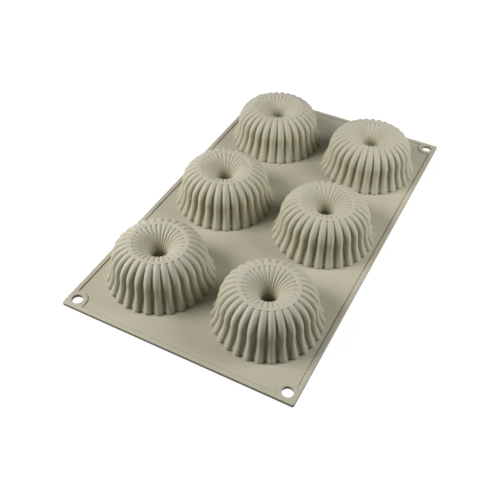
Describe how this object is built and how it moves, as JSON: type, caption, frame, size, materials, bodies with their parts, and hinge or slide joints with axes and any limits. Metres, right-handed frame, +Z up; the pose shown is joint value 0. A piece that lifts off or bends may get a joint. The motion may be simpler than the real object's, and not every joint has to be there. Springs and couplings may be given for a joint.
{
  "type": "silicone baking mould",
  "caption": "Flexible silicone mould sheet with rows of fluted ring cavities, a raised rim and hanging holes in its corners; bends between its rows to release what was baked.",
  "frame": {"origin": "under the middle of the sheet, on the plane that it lies on", "axes": "+Z up out of the sheet towards the crowns of the cavities, +Y along the long side, +X along the short side"},
  "size_m": [0.175, 0.3, 0.0339],
  "materials": {
    "silicone": "matt moulded silicone, grey-beige"
  },
  "bodies": {
    "row_middle": {"sheet_middle": "silicone", "rim_middle_left": "silicone", "wall_middle_left": "silicone", "core_middle_left": "silicone", "rim_middle_right": "silicone", "wall_middle_right": "silicone", "core_middle_right": "silicone"},
    "row_front": {"sheet_front": "silicone", "rim_front_end": "silicone", "rim_front_left": "silicone", "wall_front_left": "silicone", "core_front_left": "silicone", "eyelet_front_left": "silicone", "rim_front_right": "silicone", "wall_front_right": "silicone", "core_front_right": "silicone", "eyelet_front_right": "silicone"},
    "row_rear": {"sheet_rear": "silicone", "rim_rear_end": "silicone", "rim_rear_left": "silicone", "wall_rear_left": "silicone", "core_rear_left": "silicone", "eyelet_rear_left": "silicone", "rim_rear_right": "silicone", "wall_rear_right": "silicone", "core_rear_right": "silicone", "eyelet_rear_right": "silicone"}
  },
  "joints": [
    {"name": "front_bend", "type": "hinge", "parent": "row_middle", "child": "row_front", "pos_m": [0, -0.0474, 0.001], "axis": [1, 0, 0], "range_deg": [-45, 75], "stiffness_Nm_per_rad": 0.008},
    {"name": "rear_bend", "type": "hinge", "parent": "row_middle", "child": "row_rear", "pos_m": [0, 0.0474, 0.001], "axis": [-1, 0, 0], "range_deg": [-45, 75], "stiffness_Nm_per_rad": 0.008}
  ]
}
